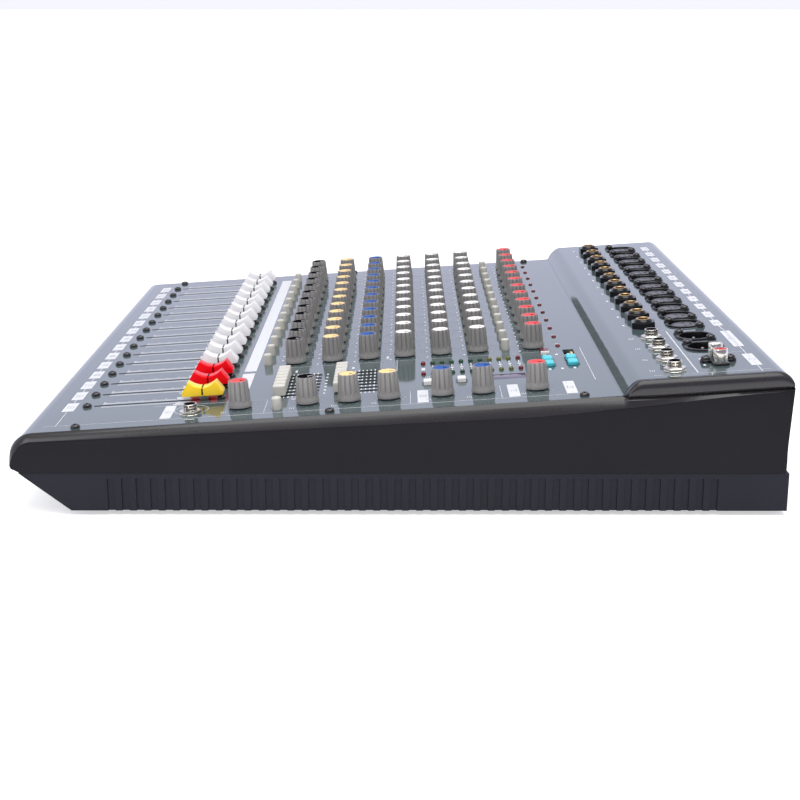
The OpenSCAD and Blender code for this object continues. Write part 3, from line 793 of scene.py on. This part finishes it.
def phono_sockets():
    plate, tubes, cores = Shape(), Shape(), {"cap_red": Shape(), "cap_white": Shape()}
    place = deck(RCA_X, RCA_ROW)
    plate.add(pillow(24, 9.6, 0.02, 1.6, 2.2, 0.4), place)
    plate.add(bar(21.6, 6.6, -12, 0.5), place)
    for side in (-1, 1):
        plate.add(pillow(7, 7, 0.02, 1.6, 3.2, 0.4), place @ Matrix.Translation((0, side * 6.9, 0)))
    for side, color in ((1, "cap_red"), (-1, "cap_white")):
        spot = place @ Matrix.Translation((side * 7, 0, 0))
        tubes.add(tube([(4.15, 1.5), (4.15, 5.2), (3.95, 5.4), (4.15, 5.6), (4.15, 8.7), (3.8, 9.25),
                        (3.4, 9.25), (3.3, 8.9), (3.3, 1.5)], 36), spot)
        core = [(3.3, 1.6), (3.3, 8.6), (3.1, 8.75), (1.7, 8.75), (1.6, 8.5), (1.6, 1.6)]
        cores[color].add(tube(core), spot)
    piece("phono_plate", plate, "connector_black", replaces=["rca_sockets"])
    piece("phono_tubes", tubes, "nickel")
    for color in ("red", "white"):
        piece("phono_core_" + color, cores["cap_" + color], "cap_" + color)


# ---------------- side cheeks

NOSE_R, REAR_R, RAMP_ROW, ARMREST_ROW = 14, 10, 306.6, 303
RAMP_STARTS, RAMP_STEEPEST, RAMP_ENDS = 3.2, 4.6, 14.2
SEAM = 25.6
CHEEK_T = 5.9


def plane_z(y, rise=0.0):
    return FRONT.z + SLOPE * (y - FRONT.y) + rise


def ramp_rise(y):
    """Height of the ramp over the control panel: a tight bend at its foot, then flatter to the deck."""
    s = y - ROW_ZERO - RAMP_ROW
    steepest = 2 * DECK_RISE / (RAMP_ENDS - RAMP_STARTS)
    bend, rest = RAMP_STEEPEST - RAMP_STARTS, RAMP_ENDS - RAMP_STEEPEST
    foot = min(max(s - RAMP_STARTS, 0), bend)
    on = min(max(s - RAMP_STEEPEST, 0), rest)
    return steepest * (foot * foot / (2 * bend) + on - on * on / (2 * rest))


def cad_ramp_rise(y, radius=6.5, angle=math.radians(50)):
    """The same for the CAD's ramp: two equal bends with a straight piece between."""
    s = y - ROW_ZERO - RAMP_ROW
    straight = (DECK_RISE - 2 * radius * (1 - math.cos(angle))) / math.tan(angle)
    turn = radius * math.sin(angle)
    if s <= 0 or s >= 2 * turn + straight:
        return 0.0 if s <= 0 else DECK_RISE
    if s < turn:
        return radius - math.sqrt(radius ** 2 - s * s)
    if s > turn + straight:
        back = 2 * turn + straight - s
        return DECK_RISE - radius + math.sqrt(radius ** 2 - back * back)
    return radius * (1 - math.cos(angle)) + (s - turn) * math.tan(angle)


def top_panel():
    """The CAD's panel, with the ramp bent as sharply at its foot as on the real one."""
    made = smoothed("top_panel", "panel_paint")
    bm = bmesh.new()
    bm.from_mesh(made.data)
    first = ROW_ZERO + RAMP_ROW
    for k in range(1, 30):
        y = (first + k * 0.5) * MM
        bmesh.ops.bisect_plane(bm, geom=bm.verts[:] + bm.edges[:] + bm.faces[:], dist=1e-7,
                               plane_co=(0, y, 0), plane_no=(0, 1, 0))
    for vert in bm.verts:
        y = vert.co.y / MM
        vert.co.z += (ramp_rise(y) - cad_ramp_rise(y)) * MM
    bm.to_mesh(made.data)
    bm.free()
    made.data.set_sharp_from_angle(angle=SHARP)


def spokes(centre, radius, start, end, steps):
    """Points of an arc, each with the direction towards its centre."""
    for i in range(steps + 1):
        a = start + (end - start) * i / steps
        spoke = Vector((math.cos(a), math.sin(a)))
        yield centre + spoke * radius, -spoke


def outline():
    """The side outline as (point, inward direction) in Y and Z, from the front roll to the rear."""
    low, high = mm(CAD_BOX[0]), mm(CAD_BOX[1])
    tilt, down = math.atan(SLOPE), Vector((0, -1))
    front, rear_y = low.y, high.y
    nose = Vector((front + NOSE_R, plane_z(front + NOSE_R) - NOSE_R / math.cos(tilt)))
    foot_y, head_y = ROW_ZERO + RAMP_ROW + RAMP_STARTS, ROW_ZERO + RAMP_ROW + RAMP_ENDS
    rear = Vector((rear_y - REAR_R, plane_z(rear_y - REAR_R, DECK_RISE) - REAR_R / math.cos(tilt)))
    chin = [(ROW_ZERO - 28.9, SEAM), (front + 0.6, SEAM + 2.3), (front, SEAM + 3.8)]
    path = [(Vector(point), Vector((1, 0))) for point in chin]
    path += spokes(nose, NOSE_R, math.pi, math.pi / 2 + tilt, 20)
    for i in range(1, 25):
        y = nose.x + (foot_y - nose.x) * i / 25
        path.append((Vector((y, plane_z(y))), down))
    for i in range(33):
        y = foot_y + (head_y - foot_y) * i / 32
        path.append((Vector((y, plane_z(y, ramp_rise(y)))), down))
    for i in range(1, 16):
        y = head_y + (rear.x - head_y) * i / 16
        path.append((Vector((y, plane_z(y, DECK_RISE))), down))
    path += spokes(rear, REAR_R, math.pi / 2 + tilt, 0, 24)
    for i in range(1, 9):
        z = rear.y + (SEAM - rear.y) * i / 8
        path.append((Vector((rear_y - 2.5 * i / 8, z)), Vector((-1, 0))))
    return path


def band_depth(row):
    """How far the bevel band reaches down from the panel's line: deepest before the ramp."""
    if row < 258:
        return 3.7 + 3.6 * max(0, row + 23) / 281
    return 1.1 + 6.2 * (1 + math.cos(math.pi * min(1, (row - 258) / 140))) / 2


def cheek_section(point):
    """Points across the cheek at one place on its outline, as (x, drop, depth).

    They run over the armrest's bulge where there is one, the groove under it, the band's two facets
    and the side. Drop is straight down, and depth is along the inward direction.
    """
    row = point.x - ROW_ZERO
    below = 0.9 * min(1, max(0, (row - ARMREST_ROW) / 25))
    lift = max(0.0, point.y - plane_z(point.x) + below) if row > ARMREST_ROW else 0.0
    share = min(1.0, lift / 4)
    section = [(0, 0, 0.3), (0.06, 0, 0.05)]
    steps = 10
    for k in range(steps + 1):
        a = math.radians(90 - 160 * k / steps)
        bulge = 1.9 + 3.6 * math.cos(a)
        flat = 0.1 + 0.3 * k / steps
        drop = lift * (1 - math.sin(a)) / (1 + math.sin(math.radians(70)))
        section.append((flat + (bulge - flat) * share, drop, 0.0))
    depth = band_depth(row) * min(1, max(0.3, (point.y - SEAM) / 14))
    start = section[-1][0]
    middle_x = (start + CHEEK_T) / 2
    for x, share_down in ((start + 0.12, 0.012), (middle_x - 0.12, 0.25), (middle_x + 0.12, 0.3),
                          (CHEEK_T - 0.22, 0.93), (CHEEK_T - 0.04, 1.03)):
        section.append((x, lift, depth * share_down))
    section.append((CHEEK_T, lift, depth * 1.1 + 0.3))
    return section


def cheek(name, side, node):
    """One side cheek: a bevelled band along the panel, and a rolled armrest beside the deck."""
    inner_x = mm(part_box("right_cheek")[1]).x - CHEEK_T
    sections = [(point, inward, cheek_section(point)) for point, inward in outline()]
    count = len(sections[0][2])
    rings = []
    for k in range(count):
        ring = []
        for point, inward, section in sections:
            x, drop, depth = section[k]
            at = point + Vector((0, -drop)) + inward * depth
            ring.append((side * (inner_x + x), at.x, max(at.y, SEAM)))
        rings.append(ring)
    points, faces = loft(rings)
    if side > 0:
        faces = [tuple(reversed(face)) for face in faces]
    made = piece(name, Shape().add((points, faces)), "cheek_plastic", replaces=[node], smooth=24)
    made.data.materials.append(MATERIALS["cheek_gloss"])
    for face in made.data.polygons:
        x = abs(face.center.x) / MM - inner_x
        if 0.01 < x < CHEEK_T - 0.03 and face.center.z > 1.3 * SEAM * MM:
            face.material_index = 1


# ---------------- printed legends

INK_LOW, INK_HIGH = 0.02, 0.07


class Ink:
    """Flat printed marks on the panel and the deck, all in one shape."""

    def __init__(self):
        self.shape = Shape()

    def box(self, x, row, width, depth, on=panel):
        self.shape.add(bar(width, depth, INK_LOW, INK_HIGH), on(x, row))

    def dial(self, x, row):
        """Eleven ticks round a knob, over its 300 degrees of swing."""
        for i in range(11):
            turn = Matrix.Rotation(math.radians(-60 + 30 * i), 4, "Z")
            place = panel(x, row) @ turn @ Matrix.Translation((9.2, 0, 0))
            self.shape.add(bar(1.3 if i in (0, 5, 10) else 0.8, 0.22, INK_LOW, INK_HIGH), place)

    def glyph(self, x, row, size=3.2, on=panel):
        """A small patch of print: three short rows of dashes."""
        for k in (-1, 0, 1):
            for side in (-1, 1):
                self.box(x + side * size * 0.27, row + k * size * 0.34, size * 0.38, size * 0.13, on)

    def number(self, value, x, row, size, on=panel):
        """A channel number, laid on top of its label box."""
        curve = bpy.data.curves.new("number", "FONT")
        curve.body, curve.size, curve.resolution_u = str(value), size, 2
        curve.align_x, curve.align_y = "CENTER", "CENTER"
        text = put("number", curve)
        flat = bpy.data.meshes.new_from_object(text.evaluated_get(bpy.context.evaluated_depsgraph_get()))
        points = [(v.co.x, v.co.y, INK_HIGH + 0.02) for v in flat.vertices]
        self.shape.add((points, [tuple(face.vertices) for face in flat.polygons]), on(x, row))
        bpy.data.objects.remove(text)
        bpy.data.meshes.remove(flat)


STRIP_LABEL_ROW = -10
STRIP_LABEL_W = 18.4
BUS_LABEL_ROW = 91
RULE_END_X = 211
DECK_LABEL_ROW = 387.5
DECK_LABEL_W = 16.4
PHONES_RING_X, PHONES_RING_ROW = 193.5, 65.2


def legends():
    ink, dark = Ink(), Ink()
    faders_x = FADER_X + GROUP_X + [MAIN_X]
    for n, x in enumerate(faders_x, 1):
        ink.box(x - 0.6, STRIP_LABEL_ROW, STRIP_LABEL_W, 7.2)
        if n <= STRIPS:
            dark.number(n, x - 0.6, STRIP_LABEL_ROW, 6)
        else:
            dark.glyph(x - 0.6, STRIP_LABEL_ROW, 5)
        fader_scale(ink, x)
    for x in faders_x[:-1]:
        ink.box(x + PITCH / 2, STRIP_LABEL_ROW, PITCH - 18, 0.45)
    ink.box((MAIN_X + RULE_END_X) / 2 + 5, STRIP_LABEL_ROW, RULE_END_X - MAIN_X - 10, 0.45)
    ink.box((FADER_X[0] + FADER_X[-1]) / 2 + 5, BUS_LABEL_ROW, FADER_X[-1] - FADER_X[0] + 23, 7.6)
    ink.box((GROUP_X[0] + MAIN_X) / 2 - 11, BUS_LABEL_ROW, 38, 7.6)
    channel_legends(ink)
    master_legends(ink, dark)
    deck_legends(ink, dark)
    piece("printed_legends", ink.shape, "print_white")
    piece("printed_numbers", dark.shape, "print_dark")
    slot_edges()


def fader_scale(ink, x):
    """The ruled scale on both sides of a fader's slot, with solid bars near the top of the travel."""
    for k in range(32):
        row, long = 9.5 + 1.46 * k, k % 5 == 0
        ink.box(x - (4.7 if long else 3.5), row, 6 if long else 3.4, 0.6)
        ink.box(x + 3.2, row, 3, 0.6)
    for side in (-1, 1):
        for k in range(3):
            ink.box(x + side * (3 + 2.4 * k), 58.5 - 1.2 * k, 1.7, 7.4)


def slot_edges():
    """The black dust guards along the slots of the equaliser sliders."""
    edges = Shape()
    for row in EQ_ROWS:
        for x in eq_columns():
            for side in (-1, 1):
                edges.add(bar(1.1, 26, 0.01, 0.05), panel(x + side * 1.4, row + EQ_TRAVEL / 2))
    piece("slot_edges", edges, "guard_and_painted_hole_shade_black")


def channel_legends(ink):
    for x in FADER_X:
        for row in KNOB_ROWS:
            ink.dial(x, row)
            for side in (-1, 1):
                ink.box(x + side * 7.6, row - 9.2, 2.4, 1.0)
        ink.glyph(x - 7.5, MUTE_ROW)
        ink.glyph(x - 7.5, PAD_ROW)
        ink.glyph(x - 6, PEAK_ROW, 2.6)
    for k in range(1, STRIPS + 1):
        ink.box(FADER_X[0] - PITCH / 2 + PITCH * k, 197, 0.2, 178)


def master_legends(ink, dark):
    left, right = MASTER_X - 13, MASTER_X + 16.5
    ink.box(right, 136, 0.35, 308)
    ink.box(left, 75, 0.3, 66)
    for row in (108.5, 192, 244):
        ink.box(MASTER_X + 2, row, 27, 0.25)
    for row in (52, 199.2, 251.3, 283.8):
        ink.box(MASTER_X + 1.2, row, 27, 6.3)
        dark.glyph(MASTER_X + 1.2, row, 4.4)
    for row in MASTER_ROWS:
        ink.dial(MASTER_X, row)
        ink.glyph(MASTER_X + 9.5, row - 8.6)
    ink.glyph(MASTER_X + 10, STANDBY_ROW)
    ring = [(9.9, INK_LOW), (9.9, INK_HIGH), (9.6, INK_HIGH), (9.6, INK_LOW)]
    ink.shape.add(tube(ring, 48), panel(PHONES_RING_X, PHONES_RING_ROW))
    eq_legends(ink)
    meter_legends(ink)


def eq_legends(ink):
    """Scales between the equaliser sliders, and a mark behind each one."""
    columns = eq_columns()
    first, last, step = columns[0], columns[-1], columns[1] - columns[0]
    for row in EQ_ROWS:
        for i in range(EQ_COUNT + 1):
            x = first + step * (i - 0.5)
            for k in range(9):
                ink.box(x, row + EQ_TRAVEL * k / 8, 2.6 if k % 4 else 3.4, 0.8)
        for x in columns:
            ink.box(x, row + EQ_TRAVEL + 6.2, 2.4, 1.3)
        ink.box(first - 12, row + 6, 5, 1.4)
        ink.box(last + 9, row + EQ_TRAVEL / 2, 1.6, 5)


def meter_legends(ink):
    middle_x = sum(METER_X) / 2
    for i in range(10):
        row = METER_ROW + METER_STEP * i
        ink.box(middle_x, row, 2.6, 1.7)
        for side in (-1, 1):
            ink.box(middle_x + side * 5.6, row, 5, 0.6)
    ink.box(middle_x, POWER_ROW, 6, 2.2)
    ink.glyph(153, 202.5)
    ink.glyph(156, 214)
    ink.glyph(177, 231)
    for row in (276.5, 284, 291.5):
        ink.box(116, row, 2.6, 1.8)
        ink.box(152, row, 3.6, 1.6)
    for x in (96, 182):
        ink.box(x, 178, 6, 1.6)
    ink.box(middle_x + 9, 184, 72, 0.35)
    ink.box(middle_x + 9, 300, 82, 0.35)


def deck_legends(ink, dark):
    for n, x in enumerate(FADER_X, 1):
        ink.box(x + 1.2, DECK_LABEL_ROW, DECK_LABEL_W, 5.7, deck)
        dark.number(n, x + 1.2, DECK_LABEL_ROW, 5, deck)
        ink.box(x + PITCH / 2 + 1.2, DECK_LABEL_ROW, PITCH - DECK_LABEL_W, 0.5, deck)
        ink.box(x - 7.5, JACK_ROW - 11.5, 3.6, 1.3, deck)
        ink.box(x + PITCH / 2 - 1, 372, 0.22, 46, deck)
    for x, width in ((139, 42), (192.5, 27)):
        ink.box(x, DECK_LABEL_ROW + 0.4, width, 6, deck)
        dark.glyph(x, DECK_LABEL_ROW + 0.4, 4.4, deck)
    ink.box(166, DECK_LABEL_ROW + 0.4, 108, 0.5, deck)
    ink.box(162, 353, 105, 0.7, deck)
    for x in METAL_JACK_X:
        ink.glyph(x - 1, JACK_ROW - 12.5, 3.6, deck)
    ink.box(173, 370, 0.3, 34, deck)
    ink.box(MASTER_X + 21.5, 361, 0.35, 66, deck)
    for side in (-1, 1):
        ink.box(RCA_X + side * 7, RCA_ROW - 9, 3, 1.4, deck)


# ---------------- rear panel and inside

USB_X, USB_ROW = 111, 292
INLET = Vector((-150, 196.2, 35))


def rear_and_inside():
    top_panel()
    smoothed("base_tray", "tray_plastic")
    smoothed("feet", "foot_rubber")
    smoothed("mains_inlet", "connector_black")
    smoothed("power_rocker", "rocker_black", "power_rocker")
    smoothed("usb_socket", "jack_black")
    tongue = Shape().add(bar(10.6, 1.4, -12, -1.2), panel(USB_X, USB_ROW) @ Matrix.Translation((0, 2.2, 0)))
    piece("usb_tongue", tongue, "cap_cream", bevel=0.15)
    repaint("circuit_boards", "board_green")
    repaint("slide_pots", "pot_steel")
    blades = Shape()
    for dx, dz in ((-7, -1.5), (0, 3), (7, -1.5)):
        place = Matrix.Translation(INLET + Vector((dx, 0, dz))) @ Matrix.Rotation(-math.pi / 2, 4, "X")
        blades.add(bar(2.1, 4.1, 0.5, 14.9), place)
    piece("inlet_blades", blades, "nickel", bevel=0.25)


# ---------------- stage, lights and camera

def aim(thing, at, direction):
    """Places a lamp or the camera, with its -Z axis along a direction."""
    thing.location = at
    thing.rotation_euler = direction.to_track_quat("-Z", "Y").to_euler()


def area_light(name, at, towards, size, power):
    data = bpy.data.lights.new(name, "AREA")
    data.shape = "RECTANGLE"
    data.size, data.size_y = size
    data.energy = power
    aim(put(name, data), at, Vector(towards) - Vector(at))


def stage():
    floor = bpy.data.meshes.new("floor")
    reach = 40.0
    corners = [(-reach, -reach, 0), (reach, -reach, 0), (reach, reach, 0), (-reach, reach, 0)]
    floor.from_pydata(corners, [], [(0, 1, 2, 3)])
    ground = put("floor", floor)
    pale = shader("pale_floor", (0.9, 0.9, 0.9), 0.7, specular=0.1, mottle=0.004, coarse=3)
    sockets = pale.node_tree.nodes["Principled BSDF"].inputs
    sockets["Emission Color"].default_value = (1, 1, 1, 1)
    sockets["Emission Strength"].default_value = 0.55
    ground.data.materials.append(pale)
    studio_world()
    area_light("overhead", (0.35, 0.1, 1.35), (0.05, 0, 0), (1.1, 1.7), 20)
    area_light("front_right", (0.9, -0.9, 1.1), (0, 0, 0.05), (0.7, 0.7), 5)
    bpy.context.scene.view_settings.view_transform = "Standard"


def studio_world():
    """A bright, slightly blue backdrop behind the console, dimmer above and behind the camera."""
    world = bpy.data.worlds.new("studio")
    world.use_nodes = True
    nodes, links = world.node_tree.nodes, world.node_tree.links
    background = nodes["Background"]
    place = nodes.new("ShaderNodeTexCoord")
    split = nodes.new("ShaderNodeSeparateXYZ")
    links.new(place.outputs["Generated"], split.inputs["Vector"])

    def fade(source, span, values):
        node = nodes.new("ShaderNodeMapRange")
        node.interpolation_type = "SMOOTHSTEP"
        links.new(source, node.inputs["Value"])
        node.inputs["From Min"].default_value, node.inputs["From Max"].default_value = span
        node.inputs["To Min"].default_value, node.inputs["To Max"].default_value = values
        return node.outputs["Result"]

    across = fade(split.outputs["X"], (-0.3, 0.5), (0.97, 0.3))
    height = fade(split.outputs["Z"], (0.35, 0.7), (0, 1))
    mix = nodes.new("ShaderNodeMix")
    links.new(height, mix.inputs["Factor"])
    links.new(across, mix.inputs["A"])
    mix.inputs["B"].default_value = 0.45
    links.new(mix.outputs["Result"], background.inputs["Strength"])
    tint = nodes.new("ShaderNodeValToRGB")
    tint.color_ramp.elements[0].color = (0.95, 0.965, 1.22, 1)
    tint.color_ramp.elements[1].color = (1, 0.99, 0.97, 1)
    links.new(height, tint.inputs["Fac"])
    links.new(tint.outputs["Color"], background.inputs["Color"])
    bpy.context.scene.world = world


def camera():
    data = bpy.data.cameras.new("camera")
    data.sensor_width = 36
    data.lens = 65.88
    eye = put("camera", data)
    aim(eye, (1.0094, 0.0018, 0.2825), Vector((-0.9644, -0.0018, -0.2643)))
    bpy.context.scene.camera = eye


camera()
stage()
rear_and_inside()
cheek("right_cheek_shell", 1, "right_cheek")
cheek("left_cheek_shell", -1, "left_cheek")
knobs()
faders()
eq_sliders()
buttons()
lamps()
window()
xlr_sockets()
jack_sockets()
phono_sockets()
screws()
legends()
